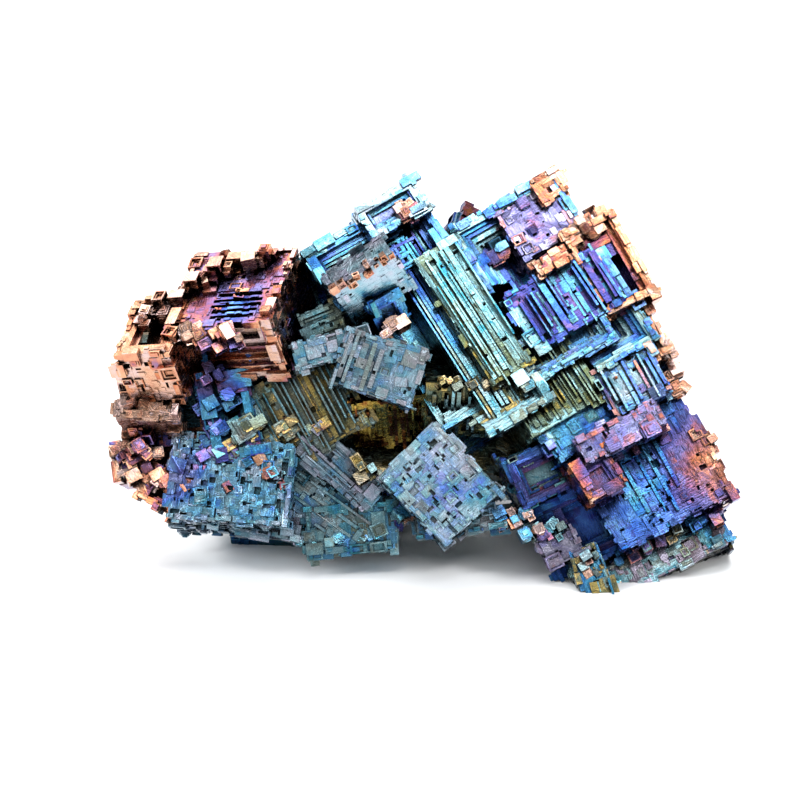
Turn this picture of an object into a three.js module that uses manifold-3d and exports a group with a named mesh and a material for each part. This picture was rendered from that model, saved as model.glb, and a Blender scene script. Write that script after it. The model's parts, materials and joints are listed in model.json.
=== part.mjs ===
// A cluster of bismuth hopper crystals, grown together into one solid lump of metal.
// Units are millimetres. +Z is up, +Y points to the back, and the origin is on the surface
// that the lump rests on, under the middle of its box.
//
// Each crystal is a skeletal cuboid. Its edges outgrew its faces, so a face steps down to its
// middle in square ledges, like the seats of a stadium. The crystals overlap at their roots,
// where they are one piece of metal, and the lump is cut flat where it rests.
import * as THREE from "three";
import { mergeVertices } from "three/addons/utils/BufferGeometryUtils.js";
import Module from "manifold-3d";

const wasm = await Module();
wasm.setup();

// ---- driving dimensions ----
const RIM = 0.9; // width of the flat band round each face, at its edges
const LEDGE = 1.45; // width of each ledge of a face's hollow
const DROP = 1.35; // height of the step from one ledge to the next
const SOLID_CORE = 1.2; // half the metal left between the hollows of opposite faces
const BREAK_WIDE = 3; // how much of a rim is gone where it broke away, across it
const BREAK_DEEP = 3.5; // and down from the top face
const BREAK_END = 7; // the length of a broken rim that still stands at its far end
const REACH = 200; // larger than the lump, for the block that trims its base

// How a crystal is turned: the directions that its x axis runs along and its z axis faces.
// The large crystals of the crest grew with one lattice, those of the right with nearly the
// same one, and those of the upper left with another.
const SHARED = { along: [0.85, 0.36, 0.39], faces: [0.07, -0.8, 0.59] };
const RIGHT = { along: [0.88, 0.33, 0.34], faces: [0.07, -0.8, 0.59] };
const LEFT = { along: [0.94, -0.29, 0.16], faces: [-0.25, -0.31, 0.92] };

// Each crystal has its size along its own x, y and z, and the place of the corner where its
// right, back and top faces meet, or of its middle where that corner is buried. hollows names
// the faces that step down to their middle, in up to so many steps: left and right are its x
// faces, front and back its y faces, and base and top its z faces. broken names the rims of
// the top face that are missing.
const CRYSTALS = [
  // the tall hopper of the crest, its cap, and the blocks that stand in its hollow
  { corner: [-0.5, 6, 36.5], size: [13, 25, 12], lattice: SHARED,
    hollows: "top left right front back", steps: 5, broken: "left front" },
  { corner: [-1, 5.5, 38], size: [6.5, 3.5, 6], lattice: SHARED, hollows: "top front back", steps: 2 },
  { corner: [-4, 1, 33.5], size: [7, 3.5, 5], hollows: "", steps: 0,
    lattice: { along: [0.75, 0.1, 0.62], faces: [-0.45, -0.35, 0.8] } },
  { corner: [0.5, -4.5, 23], size: [8, 5.5, 6], hollows: "", steps: 0,
    lattice: { along: [0.86, 0.1, -0.35], faces: [0.05, -0.9, 0.4] } },
  { corner: [1.5, -3.5, 18.5], size: [8.5, 5.5, 6], hollows: "", steps: 0,
    lattice: { along: [0.95, 0.1, 0.12], faces: [0.1, -0.9, -0.3] } },
  { corner: [8, -4, 19.5], size: [7.5, 6, 7], hollows: "", steps: 0,
    lattice: { along: [0.98, 0.1, -0.02], faces: [0, -0.95, -0.25] } },
  // the right hopper of the crest and its neighbours
  { corner: [13, 9, 37.5], size: [12, 20, 12], lattice: SHARED,
    hollows: "top left right back", steps: 4, broken: "left front" },
  { corner: [13.5, 9, 37.8], size: [3, 2.5, 4], lattice: SHARED, hollows: "", steps: 0 },
  { corner: [17, 3.5, 31.5], size: [10.5, 6.5, 6], lattice: SHARED, hollows: "", steps: 0 },
  { corner: [14, 0, 24], size: [8.5, 8, 8], lattice: SHARED, hollows: "top", steps: 2 },
  { corner: [19, 6, 34.5], size: [5.5, 9.5, 9], lattice: RIGHT, hollows: "top right back", steps: 2 },
  { corner: [22, 3, 26.5], size: [6.5, 6.5, 8], lattice: RIGHT, hollows: "top right", steps: 2 },
  // the large block at the lower right, what joins it to the middle, and its foot
  { corner: [24.5, 2.5, 19], size: [13, 14.5, 11], lattice: RIGHT,
    hollows: "right back left base", steps: 4 },
  { corner: [18, -3, 18], size: [7, 5, 8], lattice: SHARED, hollows: "left", steps: 2 },
  { corner: [18, -7, 14], size: [4, 4, 3], lattice: SHARED, hollows: "top", steps: 1 },
  { corner: [18, -4.5, 10], size: [8, 7.5, 8], hollows: "top", steps: 2,
    lattice: { along: [0.85, 0.2, 0.35], faces: [0, -0.95, 0.3] } },
  { corner: [17.5, -7.5, 4], size: [3, 8, 4], hollows: "", steps: 0,
    lattice: { along: [0.9, 0.1, 0.25], faces: [0.1, -0.75, 0.55] } },
  { middle: [17.5, 6, 4.5], size: [10, 9, 9], hollows: "right", steps: 1,
    lattice: { along: [0.95, 0.3, 0.1], faces: [-0.1, 0.1, 0.95] } },
  // the left hopper and the broken blocks that step down beside it
  { corner: [-12.5, 4, 31], size: [10.5, 11, 7], lattice: LEFT, hollows: "top right back left", steps: 3 },
  { corner: [-23, 1, 27], size: [5.5, 8.5, 6], lattice: LEFT, hollows: "top", steps: 2 },
  { corner: [-24, -2, 20], size: [5.5, 5, 6], hollows: "left", steps: 1,
    lattice: { along: [0.97, -0.1, 0.02], faces: [-0.1, -0.7, 0.7] } },
  { corner: [-28, -2, 13], size: [3, 3, 5], hollows: "left", steps: 1,
    lattice: { along: [0.9, -0.2, 0.3], faces: [-0.2, -0.8, 0.5] } },
  { corner: [-22, -4, 11.5], size: [4.5, 6, 6], hollows: "", steps: 0,
    lattice: { along: [0.85, -0.1, -0.45], faces: [-0.3, -0.8, 0.5] } },
  { corner: [-21.5, -0.5, 22], size: [5.5, 9, 7], hollows: "", steps: 0,
    lattice: { along: [0.9, -0.1, 0.1], faces: [-0.2, -0.9, 0.3] } },
  { corner: [-17.5, -1.5, 20.5], size: [4.5, 8.5, 6], hollows: "", steps: 0,
    lattice: { along: [0.9, 0.1, 0.15], faces: [-0.1, -0.9, 0.4] } },
  // the lower left and the middle
  { corner: [-12.5, -5, 13.5], size: [12, 8, 8], hollows: "", steps: 0,
    lattice: { along: [0.98, 0, -0.1], faces: [-0.1, -0.82, 0.5] } },
  { middle: [-10, -1.5, 6.5], size: [10, 5.5, 8], hollows: "", steps: 0,
    lattice: { along: [0.76, 0, -0.6], faces: [0.1, -0.9, 0.35] } },
  { corner: [-9, -1, 22.5], size: [9.5, 8.5, 8], hollows: "", steps: 0,
    lattice: { along: [0.85, 0.1, 0.45], faces: [-0.1, -0.9, 0.35] } },
  { corner: [-3, -5, 7.5], size: [8.5, 4.5, 5], hollows: "", steps: 0,
    lattice: { along: [0.95, 0.1, 0.05], faces: [0.05, -0.9, 0.3] } },
  { corner: [1.5, -6, 16], size: [7.5, 9, 3.5], hollows: "", steps: 0,
    lattice: { along: [0.66, 0.1, 0.66], faces: [0, -0.85, 0.53] } },
  { middle: [-13.5, 5.5, 3.5], size: [11, 9, 8], hollows: "left", steps: 1,
    lattice: { along: [0.95, -0.1, 0.05], faces: [-0.1, -0.2, 0.95] } },
  // the metal that the crystals grew from
  { middle: [1, 8.5, 11.5], size: [28, 15, 11], hollows: "", steps: 0,
    lattice: { along: [1, 0, 0.02], faces: [0, -0.8, 0.6] } },
  { middle: [-14, 6, 11], size: [14, 15, 9], hollows: "left", steps: 1,
    lattice: { along: [1, 0, 0.02], faces: [0, -0.8, 0.6] } },
  // the back
  { middle: [-10.5, 10.5, 18], size: [12, 12, 10], hollows: "top left right back", steps: 4,
    lattice: { along: [-0.85, 0.3, 0.45], faces: [-0.3, 0.85, 0.45] } },
  { middle: [2.5, 12, 14], size: [12, 16, 11], hollows: "top left right front", steps: 4,
    lattice: { along: [-0.9, -0.1, -0.4], faces: [0.1, 0.95, 0.3] } },
  { middle: [15, 10.5, 12.5], size: [12, 12, 11], hollows: "top left right back", steps: 4,
    lattice: { along: [-0.75, 0.5, 0.4], faces: [0.45, 0.8, 0.3] } },
  { middle: [-7, 10, 7], size: [13, 10, 10], hollows: "top right left", steps: 3,
    lattice: { along: [-0.95, 0.1, 0.2], faces: [0.1, 0.95, -0.1] } },
  { middle: [5.5, 13, 25], size: [9, 10, 8], hollows: "top left back", steps: 3,
    lattice: { along: [-0.8, 0.1, 0.6], faces: [0.2, 0.8, 0.6] } },
];

// A three.js geometry as a solid for joining and cutting.
function solidOf(geometry) {
  geometry.deleteAttribute("normal");
  geometry.deleteAttribute("uv");
  const merged = mergeVertices(geometry, 1e-4);
  return new wasm.Manifold(
    new wasm.Mesh({
      numProp: 3,
      vertProperties: merged.attributes.position.array,
      triVerts: new Uint32Array(merged.index.array),
    }),
  );
}

// A cuboid between two corners.
function block(low, high) {
  const size = high.map((h, i) => h - low[i]);
  const geometry = new THREE.BoxGeometry(...size);
  geometry.translate(...low.map((l, i) => l + size[i] / 2));
  return solidOf(geometry);
}

// The axis that each face looks along, and the side that it is on.
const FACES = {
  left: [0, -1],
  right: [0, 1],
  front: [1, -1],
  back: [1, 1],
  base: [2, -1],
  top: [2, 1],
};

const words = (text) => text.split(" ").filter(Boolean);

// The stepped hollow of one face, as the blocks to cut away.
function hollow(half, face, mostSteps) {
  const [axis, side] = FACES[face];
  const [across, along] = [0, 1, 2].filter((i) => i !== axis);
  const cuts = [];
  for (let step = 0; step < mostSteps; step++) {
    const inset = RIM + step * LEDGE;
    const deep = (step + 1) * DROP;
    const narrow = Math.min(half[across], half[along]) - inset;
    if (narrow < LEDGE / 2 || deep > half[axis] - SOLID_CORE) break;
    const low = [0, 0, 0];
    const high = [0, 0, 0];
    for (const i of [across, along]) {
      low[i] = -half[i] + inset;
      high[i] = half[i] - inset;
    }
    const floor = side * (half[axis] - deep);
    const outside = side * (half[axis] + DROP);
    low[axis] = Math.min(floor, outside);
    high[axis] = Math.max(floor, outside);
    cuts.push(block(low, high));
  }
  return cuts;
}

// The part of the top face's rim that broke away on its left or its front.
function broken(half, side) {
  const [axis] = FACES[side];
  const other = 1 - axis;
  const low = [0, 0, half[2] - BREAK_DEEP];
  const high = [0, 0, half[2] + DROP];
  low[axis] = -half[axis] - DROP;
  high[axis] = -half[axis] + BREAK_WIDE;
  low[other] = -half[other] - DROP;
  high[other] = half[other] - BREAK_END;
  return block(low, high);
}

// How a crystal is turned and placed, as a matrix.
function placement({ corner, middle, size, lattice }) {
  const z = new THREE.Vector3(...lattice.faces).normalize();
  const y = new THREE.Vector3().crossVectors(z, new THREE.Vector3(...lattice.along)).normalize();
  const x = new THREE.Vector3().crossVectors(y, z);
  const turn = new THREE.Matrix4().makeBasis(x, y, z);
  if (middle) return turn.setPosition(...middle);
  const reach = new THREE.Vector3(...size).divideScalar(2).applyMatrix4(turn);
  return turn.setPosition(new THREE.Vector3(...corner).sub(reach));
}

// One skeletal cuboid in its place.
function crystal(spec) {
  const half = spec.size.map((s) => s / 2);
  let solid = block(half.map((h) => -h), half);
  for (const face of words(spec.hollows)) {
    for (const cut of hollow(half, face, spec.steps)) solid = solid.subtract(cut);
  }
  for (const side of words(spec.broken ?? "")) solid = solid.subtract(broken(half, side));
  return solid.transform(placement(spec).elements);
}

// ---- the lump ----
let lump = CRYSTALS.map(crystal).reduce((whole, next) => whole.add(next));
lump = lump.subtract(block([-REACH, -REACH, -REACH], [REACH, REACH, 0]));

const mesh = lump.getMesh();
const geometry = new THREE.BufferGeometry();
geometry.setAttribute("position", new THREE.BufferAttribute(mesh.vertProperties, mesh.numProp));
geometry.setIndex(new THREE.BufferAttribute(mesh.triVerts, 1));
geometry.computeBoundingBox();
const middle = geometry.boundingBox.getCenter(new THREE.Vector3());
geometry.translate(-middle.x, -middle.y, 0);

const bismuth = new THREE.MeshStandardMaterial({ color: 0x4f8fa6, roughness: 0.3, metalness: 1 });
const cluster = new THREE.Mesh(geometry, bismuth);
cluster.name = "crystal_cluster";

const group = new THREE.Group();
group.add(cluster);
export default group;
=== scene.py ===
import json
import math
import random

import bmesh
import bpy
import numpy as np
from mathutils import Matrix, Vector

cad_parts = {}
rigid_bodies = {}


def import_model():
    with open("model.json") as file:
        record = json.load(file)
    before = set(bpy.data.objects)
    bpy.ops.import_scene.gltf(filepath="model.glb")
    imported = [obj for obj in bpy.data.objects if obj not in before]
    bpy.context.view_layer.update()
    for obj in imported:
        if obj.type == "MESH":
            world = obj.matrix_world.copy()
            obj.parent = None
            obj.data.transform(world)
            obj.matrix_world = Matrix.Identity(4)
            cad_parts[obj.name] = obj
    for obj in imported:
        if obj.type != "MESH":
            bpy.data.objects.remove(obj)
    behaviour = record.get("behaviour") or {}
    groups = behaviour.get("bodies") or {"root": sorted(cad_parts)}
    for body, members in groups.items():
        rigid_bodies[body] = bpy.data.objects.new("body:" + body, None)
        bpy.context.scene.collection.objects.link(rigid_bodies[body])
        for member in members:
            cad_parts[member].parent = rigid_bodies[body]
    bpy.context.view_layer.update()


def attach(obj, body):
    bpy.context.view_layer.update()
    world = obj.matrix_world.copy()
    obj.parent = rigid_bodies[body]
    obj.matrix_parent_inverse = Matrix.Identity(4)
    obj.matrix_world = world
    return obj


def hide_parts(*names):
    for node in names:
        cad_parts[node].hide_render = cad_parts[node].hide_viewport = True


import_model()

# A cluster of bismuth hopper crystals, grown together into one lump of metal.
#
# The crystals are modelled in millimetres, each in its own lattice: x and y run along its
# edges, and z looks out of its main hollow. They are joined region by region, and only then
# brought to metres.
MM = 0.001
NODE = "crystal_cluster"

# ---- driving dimensions ----
LEDGE = 0.42       # width of a ledge in a hollow
DROP = 0.5         # height of the step from one ledge to the next
RIM = 0.7          # width of the flat band round a hollow
BREAK_WIDE = 3     # how much of a rim is gone where it broke away, across it
BREAK_DEEP = 3.5   # and down from the top face
BREAK_END = 7      # the length of a broken rim that still stands at its far end
CRUMBS = 3         # small crystals in each lump of a row
LEAST_FACES = 60   # faces of the smallest bit that is kept where it touches nothing of its piece

# ---- lattices: the directions that the x axis runs along and that the z axis faces ----
SHARED = ((0.85, 0.36, 0.39), (0.07, -0.80, 0.59))
RIGHT = ((0.88, 0.33, 0.34), (0.07, -0.80, 0.59))
LEFT = ((0.94, -0.29, 0.16), (-0.25, -0.31, 0.92))
FALLEN = ((0.75, 0.1, 0.62), (-0.45, -0.35, 0.8))

# ---- oxide films, as places on the colour scale that FILM_COLOURS gives below ----
PINK, TAN, COPPER, WINE, PURPLE = 0.02, 0.08, 0.16, 0.24, 0.31
NAVY, BLUE, SKY, TEAL, PALE = 0.38, 0.46, 0.54, 0.61, 0.69
SAGE, OLIVE, GOLD, BROWN = 0.76, 0.83, 0.92, 0.97

# The cluster's highest point is the top corner of the crest's cap, which ties the places below
# to the frame.
CAP_CORNER = Vector((-1, 5.5, 38))
summit = max(bpy.data.objects[NODE].data.vertices, key=lambda v: v.co.z).co / MM
SHIFT = Vector((summit.x - CAP_CORNER.x, summit.y - CAP_CORNER.y, 0))

# The faces of a block, as the axis that each looks along and its side.
FACES = {
    "left": (0, -1), "right": (0, 1),
    "front": (1, -1), "back": (1, 1),
    "base": (2, -1), "top": (2, 1),
}


def turned(lattice):
    """The rotation from a lattice's own axes to the cluster's."""
    z = Vector(lattice[1]).normalized()
    y = z.cross(Vector(lattice[0])).normalized()
    x = y.cross(z)
    return Matrix((x, y, z)).transposed()


def deselect_all():
    if bpy.context.object and bpy.context.object.mode != "OBJECT":
        bpy.ops.object.mode_set(mode="OBJECT")
    bpy.ops.object.select_all(action="DESELECT")


def select_faces(obj, test):
    """Selects the faces of the object in edit mode that pass the test, and no others."""
    shape = bmesh.from_edit_mesh(obj.data)
    for face in shape.faces:
        face.select_set(False)
    for face in shape.faces:
        if test(face):
            face.select_set(True)
    shape.select_flush_mode()
    bmesh.update_edit_mesh(obj.data)


def start_block(name, size):
    """A cuboid of this size round the origin, left in edit mode."""
    deselect_all()
    bpy.ops.mesh.primitive_cube_add(size=1, location=(0, 0, 0))
    obj = bpy.context.object
    obj.name = name
    bpy.ops.object.mode_set(mode="EDIT")
    bpy.ops.mesh.select_all(action="SELECT")
    bpy.ops.transform.resize(value=size)
    return obj


def step_down(obj, half, face, steps, ledge, drop, rim, rng):
    """Steps one face down to its middle in ledges, and gives the hollow's depth."""
    axis, side = FACES[face]
    normal = Vector([side if i == axis else 0 for i in range(3)])
    across = [i for i in range(3) if i != axis]
    room = min(half[i] for i in across)
    select_faces(obj, lambda f: f.normal.dot(normal) > 0.9
                 and abs(f.calc_center_median()[axis] - side * half[axis]) < 1e-4)
    taken, deep = 0.0, 0.0
    for step in range(steps):
        width = rim if step == 0 else ledge * rng.uniform(0.7, 1.35)
        fall = drop * rng.uniform(0.7, 1.4)
        if taken + width > room - 0.3 or deep + fall > half[axis] - 0.5:
            break
        bpy.ops.mesh.inset(thickness=width, depth=0)
        slide = Vector((0, 0, 0))
        for i in across:
            slide[i] = rng.uniform(-0.3, 0.3) * width
        bpy.ops.transform.translate(value=slide)
        bpy.ops.mesh.extrude_region_move(TRANSFORM_OT_translate={"value": -normal * fall})
        taken += width
        deep += fall
    return deep


# ---- the small blocks that everything fine is made of, modelled once ----
def model_small(name, steps, faces=("top",), inset=0.16, fall=0.2):
    """A unit block whose faces step down, or up where fall is negative."""
    obj = start_block(name, (1, 1, 1))
    for face in faces:
        axis, side = FACES[face]
        normal = Vector([side if i == axis else 0 for i in range(3)])
        select_faces(obj, lambda f: f.normal.dot(normal) > 0.9
                     and abs(f.calc_center_median()[axis] - side * 0.5) < 1e-4)
        for _ in range(steps):
            bpy.ops.mesh.inset(thickness=inset, depth=0)
            bpy.ops.mesh.extrude_region_move(TRANSFORM_OT_translate={"value": -normal * fall})
    bpy.ops.object.mode_set(mode="OBJECT")
    mesh = obj.data
    mesh.attributes.new("crystal", "INT", "FACE")
    bpy.data.objects.remove(obj)
    return mesh


BRICK = model_small("brick", 0)
STEPPED = model_small("stepped_block", 1, fall=-0.2)
PITTED = model_small("pitted_block", 1, fall=0.3)
HOPPERLETS = (
    model_small("hopperlet", 2, ("top", "right", "front"), inset=0.13, fall=0.13),
    model_small("deep_hopperlet", 3, ("top", "front"), inset=0.1, fall=0.12),
    model_small("knobbed_hopperlet", 2, ("top", "left", "front"), inset=0.14, fall=-0.09),
)


def quarter_turns():
    """Rotations that put the block's top on any of its six sides."""
    half = math.pi / 2
    return [
        Matrix.Identity(3), Matrix.Rotation(half, 3, "X"), Matrix.Rotation(-half, 3, "X"),
        Matrix.Rotation(half, 3, "Y"), Matrix.Rotation(-half, 3, "Y"), Matrix.Rotation(math.pi, 3, "X"),
    ]


QUARTERS = quarter_turns()


# The benches aren't linked to the scene, so that what waits on them takes no time.
joined = bpy.data.collections.new("to be joined")
dug = bpy.data.collections.new("to be dug out")
crystals = []  # what the colouring needs of each crystal, by its number


def place_block(mesh, matrix, number, bench):
    """Puts a copy of a small block on a bench, marked as part of a crystal."""
    copy = mesh.copy()
    copy.transform(matrix)
    copy.attributes["crystal"].data.foreach_set("value", [number] * len(copy.polygons))
    bench.objects.link(bpy.data.objects.new("block", copy))


class Growth:
    """What grows on one crystal, in its own lattice."""

    def __init__(self, rng, half, matrix, number, gone):
        self.rng = rng
        self.half = half
        self.matrix = matrix
        self.number = number
        self.gone = gone  # boxes where the crystal broke away, which stay bare

    def standing(self, centre):
        return not any(all(low[i] < centre[i] < high[i] for i in range(3)) for low, high in self.gone)

    def add(self, centre, size, mesh=None, tilt=2.0, bench=joined):
        if not self.standing(centre):
            return
        rng = self.rng
        mesh = mesh or rng.choice((STEPPED, STEPPED, PITTED, BRICK))
        turn = Matrix.Identity(3) if mesh is BRICK else rng.choice(QUARTERS)
        spin = Matrix.Rotation(math.radians(rng.gauss(0, tilt)), 3, rng.choice("XYZ"))
        local = (spin @ Matrix.Diagonal(Vector(size)) @ turn).to_4x4()
        place_block(mesh, self.matrix @ Matrix.Translation(Vector(centre)) @ local, self.number, bench)


def edge_of(face, half, rng):
    """One edge of a face, picked by its length: the axis it is set on, its run and its end."""
    axis, _ = FACES[face]
    first, second = [i for i in range(3) if i != axis]
    edge = rng.choices(range(4), weights=[half[second]] * 2 + [half[first]] * 2)[0]
    fixed, run = (first, second) if edge < 2 else (second, first)
    return fixed, run, 1 if edge % 2 else -1


def rim_growth(growth, face, count, size):
    """Blocks along the edges of one face."""
    rng, half = growth.rng, growth.half
    axis, side = FACES[face]
    for _ in range(count):
        fixed, run, end = edge_of(face, half, rng)
        thick = size * rng.uniform(0.35, 1.0) ** 1.6
        dims = [0.0, 0.0, 0.0]
        dims[axis] = thick * rng.uniform(0.6, 1.3)
        dims[fixed] = thick * rng.uniform(0.7, 1.4)
        dims[run] = thick * rng.uniform(0.8, 2.8)
        centre = [0.0, 0.0, 0.0]
        centre[axis] = side * (half[axis] - rng.uniform(-0.18, 0.4) * dims[axis])
        centre[fixed] = end * (half[fixed] - rng.uniform(-0.12, 0.6) * dims[fixed])
        centre[run] = rng.uniform(-1, 1) * half[run]
        growth.add(centre, dims)


def terrace_growth(growth, face, count, deep, reach, size, long=6.0):
    """Broken bars that run along the ledges of a hollow."""
    rng, half = growth.rng, growth.half
    axis, side = FACES[face]
    for _ in range(count):
        fixed, run, end = edge_of(face, half, rng)
        part = rng.uniform(0.0, 1.0)
        thick = size * rng.uniform(0.5, 1.3)
        dims = [0.0, 0.0, 0.0]
        dims[axis] = thick * rng.uniform(0.6, 2.0)
        dims[fixed] = thick * rng.uniform(0.5, 1.1)
        dims[run] = thick * rng.uniform(1.0, long)
        centre = [0.0, 0.0, 0.0]
        centre[axis] = side * (half[axis] - part * deep + rng.uniform(-0.5, 0.25) * dims[axis])
        centre[fixed] = end * (half[fixed] - 0.3 - part * reach)
        centre[run] = rng.uniform(-1, 1) * max(0.2, half[run] - 0.3 - part * reach)
        growth.add(centre, dims, mesh=rng.choice((BRICK, BRICK, STEPPED)), tilt=0.8)


def face_growth(growth, face, count, size, thin=0.5):
    """Low square plates on a face, which make it stepped."""
    rng, half = growth.rng, growth.half
    axis, side = FACES[face]
    for _ in range(count):
        wide = size * rng.uniform(0.4, 1.0) ** 1.5
        dims = [0.0, 0.0, 0.0]
        dims[axis] = size * thin * rng.uniform(0.6, 1.6)
        centre = [0.0, 0.0, 0.0]
        centre[axis] = side * (half[axis] - dims[axis] * rng.uniform(0.05, 0.45))
        for i in range(3):
            if i != axis:
                dims[i] = wide * rng.uniform(0.5, 2.0)
                centre[i] = rng.uniform(-1, 1) * half[i]
        growth.add(centre, dims, tilt=1.5)


def pits(growth, face, count, size):
    """Square pits and slots in a face."""
    rng, half = growth.rng, growth.half
    axis, side = FACES[face]
    for _ in range(count):
        dims = [size * rng.uniform(0.35, 1.0) ** 1.4 * rng.uniform(0.6, 2.2) for _ in range(3)]
        dims[axis] = size * rng.uniform(0.8, 2.2)
        centre = [rng.uniform(-0.92, 0.92) * h for h in half]
        centre[axis] = side * half[axis]
        growth.add(centre, dims, mesh=BRICK, tilt=1.0, bench=dug)


def fins(growth, low, high, run, count, thick, rough=0.25):
    """Thin plates side by side, each a little longer or shorter than the next."""
    rng = growth.rng
    low, high = Vector(low), Vector(high)
    stack = max((i for i in range(3) if i != run), key=lambda i: high[i] - low[i])
    rise = [i for i in range(3) if i not in (run, stack)][0]
    for k in range(count):
        centre = (low + high) / 2
        size = high - low
        centre[stack] = low[stack] + (k + rng.uniform(0.3, 0.7)) / count * (high[stack] - low[stack])
        size[stack] = thick * rng.uniform(0.6, 1.3)
        size[run] *= 1 - rough * rng.random()
        centre[run] += (high[run] - low[run]) * rough * rng.uniform(-0.4, 0.4)
        size[rise] *= 1 - rough * rng.random()
        centre[rise] -= (high[rise] - low[rise] - size[rise]) / 2
        growth.add(centre, size, mesh=BRICK, tilt=1.2)


def unite(obj, bench, operation="UNION"):
    """Joins all that is on the bench to the object as one closed skin, or cuts it away."""
    deselect_all()
    bpy.context.view_layer.objects.active = obj
    obj.select_set(True)
    join = obj.modifiers.new("join", "BOOLEAN")
    join.operation = operation
    join.operand_type = "COLLECTION"
    join.collection = bench
    join.solver = "MANIFOLD"
    join.show_viewport = False  # else the join is worked out twice
    bpy.ops.object.modifier_apply(modifier=join.name)
    bpy.data.batch_remove([other.data for other in bench.objects])


def move_to(obj, collection):
    for holder in list(obj.users_collection):
        holder.objects.unlink(obj)
    collection.objects.link(obj)


def broken_box(half, side):
    """Where the top face's rim broke away on its left or its front, as two corners."""
    axis = FACES[side][0]
    other = 1 - axis
    low, high = [0, 0, half[2] - BREAK_DEEP], [0, 0, half[2] + DROP]
    low[axis], high[axis] = -half[axis] - DROP, -half[axis] + BREAK_WIDE
    low[other], high[other] = -half[other] - DROP, half[other] - BREAK_END
    return low, high


def remember(place, turn, half, film, shade, bare):
    """Keeps what the colouring needs of a crystal, and gives its number."""
    crystals.append((place, turn, half, film, shade, bare))
    return len(crystals) - 1


def lump(place, size, film, turn, rng, bare=0.15):
    """One small hopper crystal on its own."""
    spin = Matrix.Rotation(math.radians(rng.gauss(0, 9)), 3, rng.choice("XYZ"))
    dims = Vector([size * rng.uniform(0.8, 1.25) for _ in range(3)])
    own = turn @ spin
    film = film + rng.uniform(-0.02, 0.02)
    number = remember(place, own, list(dims / 2), (film, film + 0.09), 0.05, bare)
    matrix = Matrix.Translation(place) @ (own @ Matrix.Diagonal(dims) @ rng.choice(QUARTERS)).to_4x4()
    place_block(rng.choice(HOPPERLETS), matrix, number, joined)


def lump_row(start, end, count, size, films, lattice=SHARED):
    """Small hopper crystals strung from one place to another, in films that take turns."""
    rng = random.Random(repr((start, end)))
    turn = turned(lattice)
    films = films if isinstance(films, tuple) else (films,)
    for k in range(CRUMBS * count):
        part = (k + 0.5) / (CRUMBS * count)
        jitter = Vector([rng.uniform(-0.5, 0.5) * size for _ in range(3)])
        place = Vector(start).lerp(Vector(end), part) + jitter + SHIFT
        lump(place, size * rng.uniform(0.45, 0.8), films[k // CRUMBS % len(films)], turn, rng)


def crystal(size, lattice, film, corner=None, middle=None, hollows="", steps=0, broken="",
            ledge=LEDGE, drop=DROP, rim=RIM, rims=1.0, bars=1.0, plates=1.0, small=1.0, chip=1.0,
            pitted=1.0, shade=0.07, bare=0.1, extra=None):
    """One skeletal crystal with all that grows on it.

    It is placed by the corner where its right, back and top faces meet, or by its middle where
    that corner is buried. film is the oxide on its edges and in its hollows, shade is how much
    that changes from step to step, and bare is how much metal shows through. rims, bars,
    plates, small and pitted are how much grows on the edges, on the ledges and on the faces,
    how many small hopper crystals sit on it, and how many pits it has.
    """
    rng = random.Random(1000 + len(crystals))
    half = [s / 2 for s in size]
    turn = turned(lattice)
    place = Vector(middle) if middle else Vector(corner) - turn @ Vector(half)
    place += SHIFT
    matrix = Matrix.Translation(place) @ turn.to_4x4()
    number = remember(place, turn, half, film, shade, bare)
    obj = start_block("crystal", size)
    depths = {}
    for face in hollows.split():
        depths[face] = step_down(obj, half, face, steps, ledge, drop, rim, rng)
    bpy.ops.object.mode_set(mode="OBJECT")
    gone = [broken_box(half, side) for side in broken.split()]
    for low, high in gone:
        low, high = Vector(low), Vector(high)
        box = Matrix.Translation((low + high) / 2) @ Matrix.Diagonal(high - low).to_4x4()
        place_block(BRICK, box, number, dug)
    if gone:
        unite(obj, dug, "DIFFERENCE")
    obj.data.transform(matrix)
    tag = obj.data.attributes.get("crystal") or obj.data.attributes.new("crystal", "INT", "FACE")
    tag.data.foreach_set("value", [number] * len(obj.data.polygons))
    move_to(obj, joined)

    growth = Growth(rng, half, matrix, number, gone)
    for face in FACES:
        axis, side = FACES[face]
        sides = [half[i] for i in range(3) if i != axis]
        edge = 4 * sum(sides)
        area = 4 * sides[0] * sides[1]
        if depths.get(face, 0) > 0:
            rim_growth(growth, face, int(edge * 0.9 * rims), chip)
            reach = depths[face] * ledge / drop
            terrace_growth(growth, face, int(edge * 1.5 * bars), depths[face], reach, 0.36)
            continue
        rim_growth(growth, face, int(edge * 0.5 * rims), chip * 0.8)
        face_growth(growth, face, int(area * 0.35 * plates), 1.3, thin=0.25)
        face_growth(growth, face, int(area * 0.8 * plates), 0.65, thin=0.4)
        pits(growth, face, int(area * 0.3 * pitted), 0.5)
        for _ in range(int(area * 0.1 * small)):
            wide = rng.uniform(0.6, 1.5)
            spot = Vector([rng.uniform(-1, 1) * h for h in half])
            spot[axis] = side * (half[axis] - 0.3 * wide)
            if growth.standing(spot):
                lump(matrix @ spot, wide, rng.uniform(*sorted(film)), turn, rng, bare)
    if extra:
        extra(growth)


def region(name):
    """Joins the crystals that are waiting on the bench into one piece."""
    first = max(joined.objects, key=lambda obj: len(obj.data.polygons))
    move_to(first, bpy.context.scene.collection)
    unite(first, joined)
    unite(first, dug, "DIFFERENCE")
    first.name = name
    first.data.name = name
    return first


def islands_of(shape):
    """The faces of a mesh, grouped by what hangs together."""
    waiting = set(shape.faces)
    while waiting:
        island = {waiting.pop()}
        edge = list(island)
        while edge:
            near = {other for side in edge.pop().edges for other in side.link_faces} & waiting
            waiting -= near
            island |= near
            edge.extend(near)
        yield island


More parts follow.
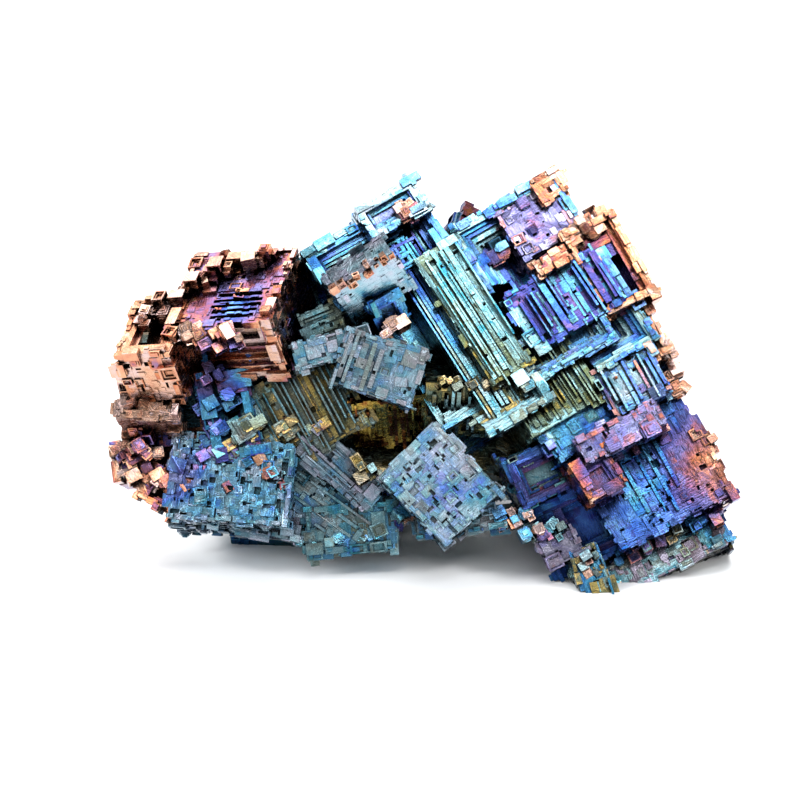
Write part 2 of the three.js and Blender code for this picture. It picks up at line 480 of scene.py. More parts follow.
def drop_crumbs(piece):
    """Deletes loose crumbs, and the pits that are sealed inside the metal."""
    deselect_all()
    bpy.context.view_layer.objects.active = piece
    piece.select_set(True)
    bpy.ops.object.mode_set(mode="EDIT")
    shape = bmesh.from_edit_mesh(piece.data)
    crumbs = {face for island in islands_of(shape) if len(island) < LEAST_FACES for face in island}
    select_faces(piece, lambda face: face in crumbs)
    bpy.ops.mesh.delete(type="FACE")
    bpy.ops.object.mode_set(mode="OBJECT")


def cut_base(piece):
    """Cuts the piece flat where the cluster rests, and closes the cut."""
    deselect_all()
    bpy.context.view_layer.objects.active = piece
    piece.select_set(True)
    bpy.ops.object.mode_set(mode="EDIT")
    bpy.ops.mesh.select_all(action="SELECT")
    bpy.ops.mesh.bisect(plane_co=(0, 0, 0), plane_no=(0, 0, 1), use_fill=True, clear_inner=True)
    bpy.ops.object.mode_set(mode="OBJECT")


# ---- ribs and long plates that stand on single crystals ----
def crest_growth(growth):
    """Long thin plates down the right leg of the crest, and along the left one."""
    x, y, z = growth.half
    fins(growth, (0.3, -y + 0.5, z - 4.8), (x - 0.2, y - 2.5, z - 0.6), 1, 15, 0.26, 0.14)
    fins(growth, (-x + 0.4, y - 6.5, z - 4.6), (x - 3, y - 0.4, z - 0.4), 0, 16, 0.24, 0.2)


def upright_ribs(growth):
    """Ribs that stand side by side on the front of a block."""
    x, y, z = growth.half
    fins(growth, (-x + 0.1, -y - 0.2, z - 1.6), (x - 0.1, y - 0.2, z + 0.7), 1, int(x * 3.6), 0.3, 0.35)


def level_ribs(growth):
    """Ribs that lie one over the other on the front of a block."""
    x, y, z = growth.half
    fins(growth, (-x + 0.1, -y + 0.2, z - 1.6), (x - 0.1, y - 0.2, z + 0.6), 0, int(y * 3.6), 0.28, 0.3)


def long_ribs(growth):
    """Thin ribs that run down the whole of a block, each at a height of its own."""
    x, y, z = growth.half
    fins(growth, (-x, -y + 0.2, z - 2), (x, y - 0.2, z + 0.35), 1, int(x * 3), 0.42, 0.12)
    fins(growth, (-x - 0.1, -y + 0.2, z - 2), (x + 0.1, y - 0.2, z + 0.8), 1, int(x * 5), 0.15, 0.3)


def broad_ribs(growth):
    """Broad bars down a block, with narrow gaps between them."""
    x, y, z = growth.half
    fins(growth, (-x + 0.1, -y + 0.2, z - 2), (x - 0.1, y - 0.2, z + 0.7), 1, int(x * 2), 0.7, 0.3)
    fins(growth, (-x, -y + 0.2, z - 2), (x, y - 0.2, z + 0.9), 1, int(x * 3), 0.22, 0.4)


def narrow_ribs(growth):
    """Bars down the left of a block, with narrow gaps between them."""
    x, y, z = growth.half
    fins(growth, (-x + 1.2, -y + 1.5, z - 1), (x * 0.3, y - 4.5, z + 0.4), 1, int(x * 2), 0.34, 0.35)
    fins(growth, (-x + 1, -y + 1, z - 1.4), (x * 0.4, y - 3, z + 0.2), 1, int(x), 0.6, 0.5)


def half_ribs(growth):
    """A few broad bars on the left half of a block's front."""
    x, y, z = growth.half
    fins(growth, (-x - 0.1, -y - 0.5, z - 1.6), (0, y - 0.4, z + 0.8), 1, 5, 0.5, 0.3)


def deep_slots(growth):
    """Deep level slots side by side in the front half of the top face."""
    x, y, z = growth.half
    rng = growth.rng
    for k in range(5):
        length = 5.8 * rng.uniform(0.8, 1)
        growth.add((1.1, 0.9 + 0.85 * k - y, z - 0.6), (length, 0.5, 3.6), BRICK, tilt=0.5, bench=dug)


# ---- the crest: a tall hopper seen into, its cap, and the blocks that stand in its hollow ----
crystal((13, 25, 12), SHARED, (TEAL, SKY), corner=(-0.5, 6, 36.5), hollows="top left right front back",
        steps=11, broken="left front", bare=0.12, shade=0.1, extra=crest_growth)
crystal((6.5, 3.5, 6), SHARED, (PALE, BLUE), corner=CAP_CORNER, hollows="top front back", steps=4, bare=0.4,
        shade=0.1)
crystal((7, 3.5, 5), FALLEN, (PALE, PALE), corner=(-4, 1, 33.5), bare=0.6, shade=0.04, plates=0.5,
        rims=0.5, small=0.1, pitted=0.3)
crystal((3, 3, 4), ((0.88, 0.2, 0.4), (0.3, -0.95, 0.1)), (TEAL, BLUE), corner=(-2.5, -1.5, 28.5),
        hollows="top right", steps=4)
crystal((7.5, 2.5, 4), ((0.95, 0.1, 0.25), (0.05, -0.9, 0.4)), (PALE, TEAL), corner=(-5.5, -3, 25.5),
        bare=0.4)
crystal((8, 5.5, 6), ((0.86, 0.1, -0.35), (0.05, -0.9, 0.4)), (PALE, PALE), corner=(0.5, -4.5, 23),
        bare=0.45, shade=0.12, plates=1.5, extra=half_ribs)
crystal((8.5, 5.5, 6), ((0.95, 0.1, 0.12), (0.1, -0.9, -0.3)), (BROWN, BROWN), corner=(1.5, -3.5, 18.5),
        rims=0.4, small=0.3, bare=0, extra=upright_ribs)
crystal((7.5, 6, 7), ((0.98, 0.1, -0.02), (0, -0.95, -0.25)), (OLIVE, SAGE), corner=(8, -4, 19.5),
        rims=0.4, small=0.4, shade=0.1, extra=upright_ribs)
crystal((4.5, 15, 7), SHARED, (SAGE, TEAL), corner=(3, 3, 32.5), rims=0.3, plates=0.4, small=0.1,
        shade=0.08, bare=0, extra=long_ribs)
crystal((8.5, 8, 8), SHARED, (SAGE, OLIVE), corner=(14, 0, 24), rims=0.2, plates=0.4, small=0.2,
        shade=0.05, bare=0, extra=long_ribs)
lump_row((-2, 4, 36), (-1, 3.5, 34), 4, 1.5, (TAN, TAN, COPPER))
lump_row((-6, 4, 33.5), (-4.5, 2.5, 32.5), 3, 1.2, (TAN, BLUE))
lump_row((1.5, -4.5, 20), (8, -4.5, 19.5), 10, 1.1, (GOLD, OLIVE, GOLD))
lump_row((-3.5, -3, 25), (-2.5, -3, 24.5), 2, 1.9, PINK)
lump_row((-8.5, -3.5, 29), (-3, -2, 32.5), 5, 0.9, TAN, FALLEN)
lump_row((3, 0.5, 26.5), (3, 0.5, 25.5), 2, 1.2, GOLD)
pieces = [region("crest_crystals")]

# ---- the right: the second hopper of the crest and its neighbours ----
crystal((12, 20, 12), SHARED, (TEAL, SKY), corner=(13, 9, 37.5), hollows="top left right back",
        steps=10, broken="left front", bare=0.15, shade=0.14)
crystal((6.5, 5.5, 4), SHARED, (PURPLE, PURPLE), corner=(13, 8.5, 36.5), rims=0.6, plates=0.8,
        shade=0.05, bare=0.55)
crystal((3, 2.5, 4), SHARED, (TAN, COPPER), corner=(13.5, 9, 38), hollows="top", steps=2)
crystal((10.5, 6.5, 6), SHARED, (SKY, BLUE), corner=(17, 3.5, 31.5), rims=0.3, shade=0.16, small=0.4,
        extra=broad_ribs)
crystal((3.5, 1.5, 3), SHARED, (TAN, COPPER), corner=(14, 2, 32))
crystal((11, 4.5, 5), SHARED, (TEAL, SKY), corner=(17, 0.5, 27), hollows="top front", steps=7, ledge=0.24,
        drop=0.32, rim=0.3, bars=4, rims=1.3, chip=0.6, plates=2, bare=0.2, shade=0.16)
crystal((5.5, 9.5, 9), RIGHT, (TAN, NAVY), corner=(19, 6, 34.5), hollows="top right back", steps=7,
        ledge=0.24, drop=1, rim=0.6, bars=0.3)
crystal((6.5, 6.5, 8), RIGHT, (TAN, NAVY), corner=(22, 3, 26.5), hollows="top right", steps=7,
        ledge=0.24, drop=1, rim=0.6, bars=0.3)
crystal((6.5, 5, 6), RIGHT, (PURPLE, BLUE), corner=(22.5, -0.5, 22.5), hollows="right", steps=3,
        shade=0.3, bare=0.3, extra=upright_ribs)
lump_row((5.5, 4.5, 29.5), (12, 7, 32), 11, 1.6, (BLUE, NAVY, WINE, PURPLE, SKY, COPPER))
lump_row((14.5, 4.5, 31.5), (18, 6, 34), 6, 1.7, TAN)
lump_row((17, 3.5, 30), (17.5, 3.5, 28.5), 3, 1.3, TAN)
lump_row((23.5, 2, 22), (24.5, 2, 21.5), 2, 1.6, TAN)
pieces.append(region("right_crystals"))

# ---- the lower right: one large block, what joins it to the middle, and its foot ----
crystal((13, 14.5, 11), RIGHT, (BLUE, SKY), corner=(24.5, 2.5, 19), hollows="right back left base",
        steps=8, plates=2.2, shade=0.08, extra=narrow_ribs)
crystal((7, 3.5, 6), SHARED, (SKY, SKY), corner=(18, -3, 18), hollows="left", steps=3, plates=2)
crystal((9, 2.5, 4), RIGHT, (WINE, PURPLE), corner=(23, -4.5, 18), plates=2, shade=0.1, bare=0.3)
crystal((4, 4, 3), SHARED, (TAN, NAVY), corner=(18, -7, 14), hollows="top", steps=4, ledge=0.32, drop=0.4)
crystal((6.5, 5, 6), ((0.85, 0.2, 0.35), (0.1, -0.9, 0.4)), (TEAL, SKY), corner=(14, -4.5, 14.5),
        hollows="top", steps=3, plates=3, shade=0.3)
crystal((8, 7.5, 8), ((0.85, 0.2, 0.35), (0, -0.95, 0.3)), (BLUE, NAVY), corner=(18, -4.5, 10),
        hollows="top left", steps=9, ledge=0.3, drop=0.8)
crystal((3.5, 2.5, 3), ((0.8, 0.1, 0.35), (0.1, -0.9, 0.3)), (PURPLE, PURPLE), corner=(15, -7.5, 5.5),
        bare=0.8)
crystal((3, 7, 4), ((0.9, 0.1, 0.25), (0.1, -0.75, 0.55)), (PALE, SAGE), corner=(17.5, -7.5, 4), shade=0.2)
crystal((12.5, 3, 5), RIGHT, (PALE, OLIVE), corner=(30, -3, 5.5), plates=2.5, shade=0.5, bare=0.35)
crystal((10, 9, 9), ((0.95, 0.3, 0.1), (-0.1, 0.1, 0.95)), (PURPLE, BLUE), middle=(17.5, 6, 4.5),
        hollows="right", steps=4)
lump_row((24, 1.5, 19), (26.5, 1.5, 17.5), 6, 1.9, (TAN, TAN, COPPER), RIGHT)
lump_row((18, -2.5, 19), (19, -2, 19.5), 2, 1.6, TAN)
lump_row((28, -1, 13.5), (30.5, -3, 6.5), 7, 1.5, (TAN, COPPER), RIGHT)
lump_row((29.5, -3.5, 7.5), (29.5, -3.5, 6.5), 1, 2.3, NAVY, RIGHT)
lump_row((10.5, -7.5, 7.5), (8, -7.5, 6.5), 5, 1.5, (PINK, SKY, TAN), RIGHT)
lump_row((10, -8, 5.5), (14, -7.5, 5.5), 6, 1.3, (TEAL, PALE, PINK, PURPLE), RIGHT)
lump_row((16.5, -8.5, 3), (17, -8.5, 1.5), 5, 1.5, (PALE, TAN, SAGE))
lump_row((11.5, -5.5, 14.5), (13.5, -6, 13.5), 4, 1.4, (WINE, PURPLE, TEAL))
lump_row((29.5, -4, 5.5), (19.5, -7, 2), 9, 1.5, (WINE, SKY, BLUE, OLIVE, SAGE, WINE, PALE), RIGHT)
pieces.append(region("lower_right_crystals"))

# ---- the left: a hopper that leans back, and the broken blocks that step down beside it ----
crystal((10.5, 11, 7), LEFT, (TAN, COPPER), corner=(-12.5, 4, 31), hollows="back left front", steps=6,
        shade=0.17, plates=1.1, extra=deep_slots)
crystal((5.5, 8.5, 6), LEFT, (TAN, COPPER), corner=(-23, 1, 27), hollows="top", steps=6, ledge=0.35,
        drop=0.6, rim=1.1)
crystal((5.5, 5, 6), ((0.97, -0.1, 0.02), (-0.1, -0.7, 0.7)), (PINK, TAN), corner=(-24, -2, 20),
        hollows="left right", steps=4, plates=2, chip=1.3)
crystal((5.5, 9, 6), ((0.9, -0.1, 0.1), (-0.2, -0.9, 0.3)), (COPPER, NAVY), corner=(-21.5, -0.5, 22),
        hollows="top", steps=7, drop=0.7, shade=0.3)
crystal((3, 3, 5), ((0.9, -0.2, 0.3), (-0.2, -0.8, 0.5)), (TAN, WINE), corner=(-28, -2, 13),
        hollows="left", steps=2, shade=0.25, chip=1.3)
crystal((4.5, 6, 6), ((0.85, -0.1, -0.45), (-0.3, -0.8, 0.5)), (TAN, WINE), corner=(-22, -4, 11.5),
        hollows="top", steps=3, plates=2, shade=0.16, chip=1.4)
crystal((4.5, 8.5, 6), ((0.9, 0.1, 0.15), (-0.1, -0.9, 0.4)), (BLUE, BLUE), corner=(-17.5, -1.5, 20.5),
        hollows="top", steps=5, shade=0.2, chip=1.4)
lump_row((-24, -4, 24.5), (-17.5, -6, 25), 9, 1.6, (TAN, PINK, TAN))
lump_row((-22.5, 2, 28.5), (-14, 4, 30.5), 10, 1.7, (TAN, TAN, COPPER), LEFT)
lump_row((-23, 1.5, 27.5), (-28, -0.5, 24.5), 6, 1.7, (TAN, PINK), LEFT)
lump_row((-28, -0.5, 24.5), (-28, -1, 22), 3, 1.8, TAN, LEFT)
lump_row((-27, -1.5, 23), (-24.5, -1.5, 21.5), 5, 1.6, (GOLD, GOLD, COPPER), LEFT)
lump_row((-28.5, -2, 20), (-29, -3, 16.5), 5, 1.8, (TAN, PINK, TAN), LEFT)
lump_row((-28, -3, 14.5), (-27.5, -3, 13.5), 2, 1.7, (COPPER, PURPLE), LEFT)
lump_row((-30, -3, 12), (-26.5, -3.5, 12.5), 8, 1.5, (TAN, WINE, TAN, COPPER))
lump_row((-28.5, -3.5, 10.5), (-22, -5.5, 7), 15, 1.6, (COPPER, TAN, WINE, COPPER))
lump_row((-24.5, -4.5, 10.5), (-24, -5, 9), 4, 1.7, (COPPER, WINE))
lump_row((-21, -3, 20), (-20.5, -2.5, 20.5), 2, 1.6, PURPLE)
lump_row((-17.5, -2, 18), (-21.5, -2.5, 16), 6, 1.9, (SKY, BLUE, BLUE))
lump_row((-19.5, -3, 15.5), (-22, -3.5, 11.5), 6, 1.8, (BLUE, PURPLE, BLUE))
lump_row((-15.5, -1, 19.5), (-17.5, -1, 22), 4, 1.5, (SKY, BLUE))
pieces.append(region("left_crystals"))

# ---- the lower left ----
crystal((12, 8, 8), ((0.98, 0, -0.1), (-0.1, -0.82, 0.5)), (TEAL, TEAL), corner=(-12.5, -5, 13.5),
        plates=2.5, small=2.5, pitted=2.5, shade=0.1, bare=0.4)
crystal((9.5, 2.5, 5), ((0.98, 0, -0.18), (-0.05, -0.9, 0.3)), (TEAL, PALE), corner=(-12, -6, 6.5),
        plates=2, bare=0.55)
crystal((10, 5.5, 8), ((0.76, 0, -0.6), (0.1, -0.9, 0.35)), (TEAL, PALE), middle=(-10, -1.5, 6.5),
        rims=0.5, shade=0.12, bare=0.25, extra=level_ribs)
crystal((9, 3.5, 7), ((0.72, 0, -0.68), (0.1, -0.9, 0.3)), (PALE, PALE), middle=(-8.5, -1.5, 10),
        rims=0.5, bare=0.7, extra=level_ribs)
lump_row((-15.5, -5, 12), (-13.5, -6.5, 9), 3, 1.7, (PINK, TEAL, PINK))
lump_row((-22, -4.5, 10.5), (-19, -6, 8), 5, 1.7, (PINK, SKY, TEAL, TAN))
lump_row((-21.5, -4.5, 12.5), (-16.5, -5, 12.5), 5, 1.5, (PURPLE, SKY, TEAL))
lump_row((-12, -6, 3.5), (-4.5, -5.5, 4), 10, 1.2, (TEAL, PALE, SKY))
pieces.append(region("lower_left_crystals"))

# ---- the middle, and the metal that the crystals grew from ----
crystal((8.5, 4.5, 5), ((0.95, 0.1, 0.05), (0.05, -0.9, 0.3)), (TEAL, PALE), corner=(-3, -5, 7.5),
        plates=4, chip=1.2, shade=0.15, small=2)
crystal((7.5, 9, 3.5), ((0.66, 0.1, 0.66), (0, -0.88, 0.46)), (PALE, TEAL), corner=(1.5, -6, 16),
        plates=2.5, small=1.5, pitted=2.5, shade=0.12, bare=0.4)
crystal((8.5, 2, 3), ((0.97, 0.1, 0.1), (0, -0.9, 0.3)), (TEAL, PALE), corner=(8, -7.5, 8),
        plates=2.5, shade=0.12, bare=0.35)
crystal((9.5, 8.5, 8), ((0.85, 0.1, 0.45), (-0.1, -0.9, 0.35)), (SAGE, OLIVE), corner=(-9, -1, 22.5),
        rims=0.8, bars=2, small=0.8, shade=0.12, plates=2, extra=long_ribs)
crystal((4, 5, 5), ((0.9, 0.1, 0.35), (-0.1, -0.9, 0.35)), (SAGE, SAGE), corner=(-8.5, 0, 27),
        rims=0.6, extra=level_ribs)
crystal((11, 9, 8), ((0.95, -0.1, 0.05), (-0.1, -0.2, 0.95)), (SKY, TEAL), middle=(-13.5, 5.5, 3.5),
        hollows="left", steps=4)
crystal((28, 15, 11), ((1, 0, 0.02), (0, -0.8, 0.6)), (OLIVE, OLIVE), middle=(1, 8.5, 11.5), plates=0.6,
        rims=0.6, small=0.5)
crystal((14, 15, 9), ((1, 0, 0.02), (0, -0.8, 0.6)), (TEAL, SAGE), middle=(-14, 6, 11), hollows="left",
        steps=4)
lump_row((-18.5, -3.5, 14), (-16, -3.5, 15), 5, 2.2, (OLIVE, GOLD, SAGE))
lump_row((-13.5, -3, 15), (-13, -3.5, 14), 3, 1.7, (BROWN, GOLD))
lump_row((-15, -3.5, 14), (-10, -3.5, 15.5), 6, 1.5, (OLIVE, GOLD))
lump_row((3.5, -7.5, 6), (7.5, -7, 7), 6, 1.2, (PINK, PALE))
lump_row((-1.5, -7, 8), (-0.5, -7.5, 6.5), 3, 1.9, (BLUE, TEAL, TAN))
lump_row((-6, -5, 11.5), (-5, -5.5, 10.5), 2, 1.5, OLIVE)
pieces.append(region("middle_crystals"))

# ---- the back ----
crystal((12, 12, 10), ((-0.85, 0.3, 0.45), (-0.3, 0.85, 0.45)), (TAN, SKY), middle=(-10.5, 10.5, 18),
        hollows="top left right back", steps=8)
crystal((12, 16, 11), ((-0.9, -0.1, -0.4), (0.1, 0.95, 0.3)), (SKY, PALE), middle=(2.5, 12, 14),
        hollows="top left right front", steps=9)
crystal((12, 12, 11), ((-0.75, 0.5, 0.4), (0.45, 0.8, 0.3)), (TAN, BLUE), middle=(15, 10.5, 12.5),
        hollows="top left right back", steps=8)
crystal((13, 10, 10), ((-0.95, 0.1, 0.2), (0.1, 0.95, -0.1)), (NAVY, TEAL), middle=(-7, 10, 7),
        hollows="top right left", steps=7)
crystal((9, 10, 8), ((-0.8, 0.1, 0.6), (0.2, 0.8, 0.6)), (WINE, TEAL), middle=(5.5, 13, 25),
        hollows="top left back", steps=6)
pieces.append(region("back_crystals"))


# ---- the metal ----
# Where the film changes from crystal to crystal: a place, how far it reaches, the film there,
# and how far it takes over from the crystals' own.
ZONES = (
    ((8, -5, 17.5), 10, OLIVE - 0.03, 1), ((4, -1, 24), 7, SAGE, 0.7),
    ((-1, 3, 33), 3.5, NAVY, 0.6), ((12, 0, 26), 4, SKY, 0.5),
    ((13, 3, 29), 4, NAVY, 0.5), ((29.5, -2.5, 10.5), 9, COPPER, 1),
    ((19, -5, 10), 7, BLUE, 0.9), ((27, -3, 6), 4, OLIVE, 0.5),
    ((-26, -2, 20), 6, TAN, 0.5), ((-20, -2, 19), 4, NAVY, 0.6),
    ((-17, -3, 16), 4, SKY, 0.5), ((-11, -2, 18), 6, OLIVE, 0.7),
    ((-18, -2.5, 26.5), 3.5, NAVY, 1), ((-19, -5, 23.5), 4.5, NAVY, 0.9),
    ((-11.5, -1, 24.5), 4.5, TEAL, 0.7), ((-24, -4, 10), 5, COPPER, 0.6),
    ((-19, -6, 10), 5, SKY, 0.4), ((-13, -6, 9), 5, TEAL, 0.4),
)


def corner_values(mesh):
    """The crystal, the face normal and the place of every face corner."""
    faces = len(mesh.polygons)
    number = np.zeros(faces, dtype=np.int32)
    mesh.attributes["crystal"].data.foreach_get("value", number)
    normals = np.zeros(faces * 3)
    mesh.polygons.foreach_get("normal", normals)
    counts = np.zeros(faces, dtype=np.int32)
    mesh.polygons.foreach_get("loop_total", counts)
    owner = np.repeat(np.arange(faces), counts)
    corners = np.zeros(len(mesh.loops), dtype=np.int32)
    mesh.loops.foreach_get("vertex_index", corners)
    places = np.zeros(len(mesh.vertices) * 3)
    mesh.vertices.foreach_get("co", places)
    return number[owner], normals.reshape(-1, 3)[owner], places.reshape(-1, 3)[corners]


def colour_skin(piece):
    """Writes the oxide's thickness and each crystal's own coordinates on the piece.

    film is the thickness, as a place on the colour scale, and bare is how much metal shows
    through it. The UV map Lattice runs along the ledges (u) and across them (v), in
    millimetres.
    """
    mesh = piece.data
    own, normals, places = corner_values(mesh)
    origins = np.array([tuple(c[0]) for c in crystals])
    turns = np.array([np.array(c[1]) for c in crystals])
    halves = np.array([c[2] for c in crystals])
    films = np.array([c[3] for c in crystals])
    shades = np.array([c[4] for c in crystals])
    bares = np.array([c[5] for c in crystals])
    local = np.einsum("nji,nj->ni", turns[own], places - origins[own])
    facing = np.einsum("nji,nj->ni", turns[own], normals)
    axis = np.abs(facing).argmax(axis=1)

    # how far each corner is from the crystal's nearest edge
    gap = np.abs(halves[own] - np.abs(local))
    gap.sort(axis=1)
    reach = np.minimum(3.2, halves[own].min(axis=1))
    inward = np.clip(gap[:, 1] / reach, 0, 1) ** 0.8

    # each growth step has a shade of its own
    level = np.round(np.take_along_axis(local, axis[:, None], 1)[:, 0] / 0.12)
    seed = own * 131.7 + axis * 17.3 + level * 7.77
    chance = np.modf(np.abs(np.sin(seed) * 43758.5453))[0]
    film = films[own, 0] + (films[own, 1] - films[own, 0]) * inward
    for place, radius, there, share in ZONES:
        far = np.linalg.norm(places - np.array(Vector(place) + SHIFT), axis=1)
        near = np.clip(1 - far / radius, 0, 1)
        film += (there - film) * share * near * near * (3 - 2 * near)
    film += (chance - 0.5) * 2 * shades[own]
    mesh.attributes.new("film", "FLOAT", "CORNER").data.foreach_set("value", film.astype(np.float32))
    bare = np.clip(bares[own] * (0.4 + 1.2 * np.modf(chance * 7.3)[0]), 0, 1)
    mesh.attributes.new("bare", "FLOAT", "CORNER").data.foreach_set("value", bare.astype(np.float32))

    ratio = np.abs(local) / halves[own]
    beside = ratio[:, 0] > ratio[:, 1]
    along = np.where(axis == 0, local[:, 1], np.where(axis == 1, local[:, 0],
                     np.where(beside, local[:, 1], local[:, 0])))
    over = np.where(axis == 2, np.where(beside, local[:, 0], local[:, 1]), local[:, 2])
    pairs = np.stack([along + 50 * (own % 7), over + 50 * axis], axis=1)
    mesh.uv_layers.new(name="Lattice").uv.foreach_set("vector", pairs.astype(np.float32).ravel())


def linear(code):
    """An sRGB hex colour as a linear colour."""
    parts = [int(code[i:i + 2], 16) / 255 for i in (1, 3, 5)]
    return tuple(p / 12.92 if p <= 0.04045 else ((p + 0.055) / 1.055) ** 2.4 for p in parts) + (1.0,)


def node(tree, kind, settings=(), links=()):
    """A node with its settings: attributes by name, and inputs and links by socket."""
    made = tree.nodes.new(kind)
    for key, value in dict(settings).items():
        if isinstance(key, str) and hasattr(made, key):
            setattr(made, key, value)
        else:
            made.inputs[key].default_value = value
    for socket, source in dict(links).items():
        tree.links.new(source, made.inputs[socket])
    return made


FILM_COLOURS = (
    (PINK - 0.02, "#bda29c"), (TAN, "#bf916f"), (COPPER, "#b0673c"), (WINE, "#7c4256"), (PURPLE, "#534a86"),
    (NAVY, "#1d2c7c"), (BLUE, "#1f5cae"), (SKY, "#3c88b2"), (TEAL, "#398390"), (PALE, "#7fa8ae"),
    (SAGE, "#687b70"), (OLIVE, "#545e42"), (GOLD, "#b89b48"), (BROWN, "#7a4722"), (1.0, "#3a2218"),
)
BARE_METAL = "#b2adc2"
CLOUDS_PER_METRE = 420.0  # patches of thicker film, each about 2.4 mm across
CLOUD_DRIFT = 0.08        # how far they move the film along the colour scale
PATCHES_PER_MM = 1.3      # square growth patches
PATCH_SHIFT = 0.07        # how far the odd patch lies down the colour scale
LINES_PER_MM = 6.0        # striations, as coarse as they have to be to show
PAINTED_SHADE_REACH = 2.2             # how far round a place the painted shade of its crevice is judged, in millimetres
RELIEF = 0.06             # height of the terraces and striations, in millimetres


def oxidised_bismuth():
    """Bright cast metal under clear oxide: mirror-like ledges whose hue shifts from step to step."""
    made = bpy.data.materials.new("bismuth under thin oxide film")
    made.use_nodes = True
    tree = made.node_tree
    shader = tree.nodes["Principled BSDF"]
    shader.inputs["Metallic"].default_value = 1.0
    film = node(tree, "ShaderNodeAttribute", {"attribute_name": "film"}).outputs["Fac"]
    bare = node(tree, "ShaderNodeAttribute", {"attribute_name": "bare"}).outputs["Fac"]
    grain = node(tree, "ShaderNodeUVMap", {"uv_map": "Lattice"}).outputs["UV"]
    place = node(tree, "ShaderNodeTexCoord").outputs["Object"]
    # clouds of thicker and thinner film
    cloud = node(tree, "ShaderNodeTexNoise", {"Scale": CLOUDS_PER_METRE, "Detail": 4.0, "Roughness": 0.65},
                 {"Vector": place})
    drift = node(tree, "ShaderNodeMapRange",
                 {"From Min": 0.25, "From Max": 0.75, "To Min": -CLOUD_DRIFT, "To Max": CLOUD_DRIFT},
                 {"Value": cloud.outputs["Fac"]})
    drifted = node(tree, "ShaderNodeMath", {"operation": "ADD"}, {0: film, 1: drift.outputs["Result"]})
    # square growth patches
    squares = node(tree, "ShaderNodeTexVoronoi",
                   {"distance": "CHEBYCHEV", "Scale": PATCHES_PER_MM, "Randomness": 0.9}, {"Vector": grain})
    cell = node(tree, "ShaderNodeSeparateColor", {}, {"Color": squares.outputs["Color"]})
    patch = node(tree, "ShaderNodeMapRange",
                 {"From Min": 0.7, "From Max": 1.0, "To Min": 0.0, "To Max": -PATCH_SHIFT},
                 {"Value": cell.outputs["Red"]})
    total = node(tree, "ShaderNodeMath", {"operation": "ADD"},
                 {0: drifted.outputs[0], 1: patch.outputs["Result"]})
    ramp = node(tree, "ShaderNodeValToRGB", {}, {"Fac": total.outputs[0]})
    points = ramp.color_ramp.elements
    while len(points) < len(FILM_COLOURS):
        points.new(0.5)
    for point, (at, code) in zip(points, FILM_COLOURS):
        point.position = at
        point.color = linear(code)
    # striations along the ledges
    stretched = node(tree, "ShaderNodeMapping", {"vector_type": "POINT", "Scale": (1.0, LINES_PER_MM, 1.0)},
                     {"Vector": grain})
    lines = node(tree, "ShaderNodeTexNoise", {"Scale": 1.0, "Detail": 3.0, "Roughness": 0.6},
                 {"Vector": stretched.outputs["Vector"]})
    # metal shows through where the film is thin, in flecks that follow the clouds
    fleck = node(tree, "ShaderNodeMapRange",
                 {"From Min": 0.35, "From Max": 0.65, "To Min": 0.3, "To Max": 1.3},
                 {"Value": cloud.outputs["Fac"]})
    show = node(tree, "ShaderNodeMath", {"operation": "MULTIPLY", "use_clamp": True},
                {0: bare, 1: fleck.outputs["Result"]})
    metal = node(tree, "ShaderNodeMix", {"data_type": "RGBA"})
    tree.links.new(show.outputs[0], metal.inputs[0])
    tree.links.new(ramp.outputs["Color"], metal.inputs[6])
    metal.inputs[7].default_value = linear(BARE_METAL)
    # painted shade: the base colour is darkened almost to black in the crevices between the steps, where
    # ambient occlusion finds them closed in
    painted_crevice_shade = node(tree, "ShaderNodeAmbientOcclusion", {"samples": 6, "Distance": PAINTED_SHADE_REACH * MM})
    # depth is how far the painted shade darkens the base colour, from almost black in the crevices to none
    # in the open
    depth = node(tree, "ShaderNodeMapRange",
                 {"From Min": 0.25, "From Max": 0.85, "To Min": 0.06, "To Max": 1.0},
                 {"Value": painted_crevice_shade.outputs["AO"]})
    # the film and metal colour with the painted crevice shade multiplied in
    colour = node(tree, "ShaderNodeVectorMath", {"operation": "SCALE"},
                  {0: metal.outputs[2], "Scale": depth.outputs["Result"]})
    tree.links.new(colour.outputs[0], shader.inputs["Base Color"])
    rough = node(tree, "ShaderNodeMapRange",
                 {"From Min": 0.3, "From Max": 0.7, "To Min": 0.1, "To Max": 0.34},
                 {"Value": lines.outputs["Fac"]})
    tree.links.new(rough.outputs["Result"], shader.inputs["Roughness"])
    # square terraces, one inside the other, on every growth patch
    steps = node(tree, "ShaderNodeMath", {"operation": "SNAP", 1: 0.09}, {0: squares.outputs["Distance"]})
    height = node(tree, "ShaderNodeMath", {"operation": "MULTIPLY_ADD", 1: 2.5},
                  {0: steps.outputs[0], 2: lines.outputs["Fac"]})
    bump = node(tree, "ShaderNodeBump", {"Strength": 0.3, "Distance": RELIEF * MM},
                {"Height": height.outputs[0]})
    tree.links.new(bump.outputs["Normal"], shader.inputs["Normal"])
    return made


skin = oxidised_bismuth()
for piece in pieces:
    drop_crumbs(piece)
    cut_base(piece)
    colour_skin(piece)
    piece.data.transform(Matrix.Diagonal((MM, MM, MM, 1)))
    piece.data.materials.clear()
    piece.data.materials.append(skin)
    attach(piece, "root")
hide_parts(NODE)

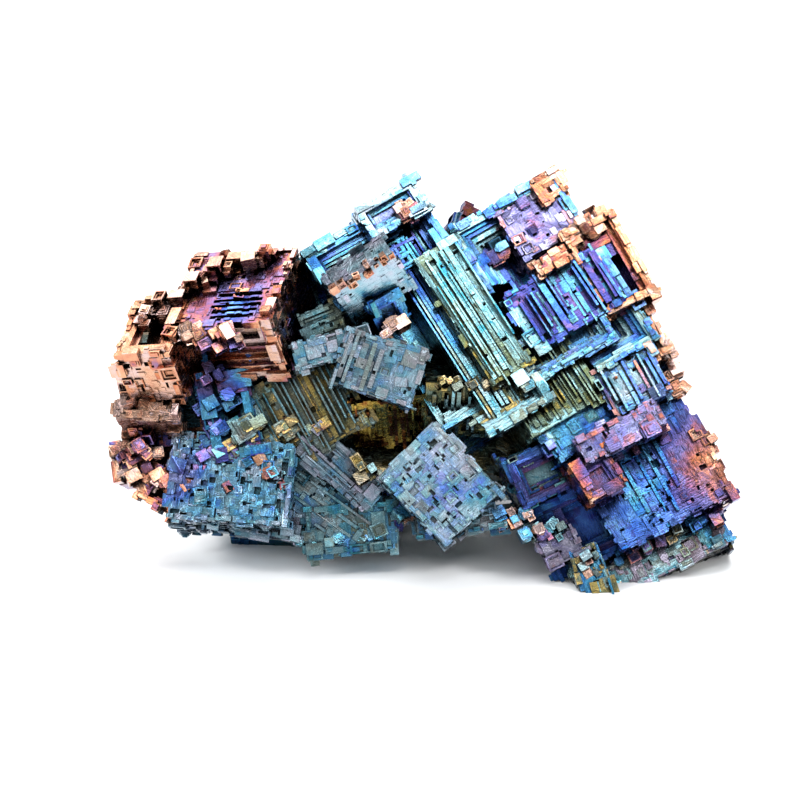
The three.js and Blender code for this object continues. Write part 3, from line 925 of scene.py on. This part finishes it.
# ---- floor, light and camera ----
deselect_all()
bpy.ops.mesh.primitive_plane_add(size=2, location=(0, 0, 0))
floor = bpy.context.object
floor.name = "floor"
paper = bpy.data.materials.new("white paper")
paper.use_nodes = True
paper.node_tree.nodes["Principled BSDF"].inputs["Base Color"].default_value = (0.9, 0.9, 0.9, 1)
floor.data.materials.append(paper)


def softbox(name, place, aim, size, power, colour=(1, 1, 1)):
    data = bpy.data.lights.new(name, "AREA")
    data.shape = "RECTANGLE"
    data.size, data.size_y = size
    data.energy = power
    data.color = colour
    lamp = bpy.data.objects.new(name, data)
    bpy.context.scene.collection.objects.link(lamp)
    lamp.location = place
    lamp.rotation_euler = (Vector(aim) - Vector(place)).to_track_quat("-Z", "Y").to_euler()
    return lamp


softbox("sky panel", (0, 0.2, 0.6), (0, 0, 0), (0.6, 0.65), 6)
softbox("left window", (-0.5, -0.25, 0.3), (0, 0, 0.02), (0.2, 0.35), 3.5)
softbox("right fill", (0.5, -0.3, 0.25), (0, 0, 0.02), (0.12, 0.3), 2)
softbox("front strip", (0.1, -0.35, 0.6), (0, 0, 0.02), (0.5, 0.08), 1.6)
softbox("front window", (-0.05, -0.75, 0.5), (0, 0, 0.02), (0.5, 0.1), 0.4)

world = bpy.data.worlds.new("studio")
world.use_nodes = True
world.node_tree.nodes["Background"].inputs["Color"].default_value = (0.9, 0.95, 1, 1)
world.node_tree.nodes["Background"].inputs["Strength"].default_value = 0.5
bpy.context.scene.world = world
bpy.context.scene.view_settings.view_transform = "Standard"

ELEVATION = math.radians(20)
DISTANCE = 0.33    # from the camera to what it looks at
VIEW_WIDTH = 0.08  # what the view takes in there, from side to side
# what it looks at, in millimetres, as the crystals are placed
LOOKED_AT = Vector((-2.1, -0.82, 16.8))
aim = (LOOKED_AT + SHIFT) * MM
toward = Vector((0, -math.cos(ELEVATION), math.sin(ELEVATION)))
camera_data = bpy.data.cameras.new("camera")
camera_data.sensor_width = 36
camera_data.lens = 36 * DISTANCE / VIEW_WIDTH
camera_data.clip_start = 0.01
camera = bpy.data.objects.new("camera", camera_data)
camera.location = aim + toward * DISTANCE
camera.rotation_euler = (-toward).to_track_quat("-Z", "Y").to_euler()
bpy.context.scene.collection.objects.link(camera)
bpy.context.scene.camera = camera
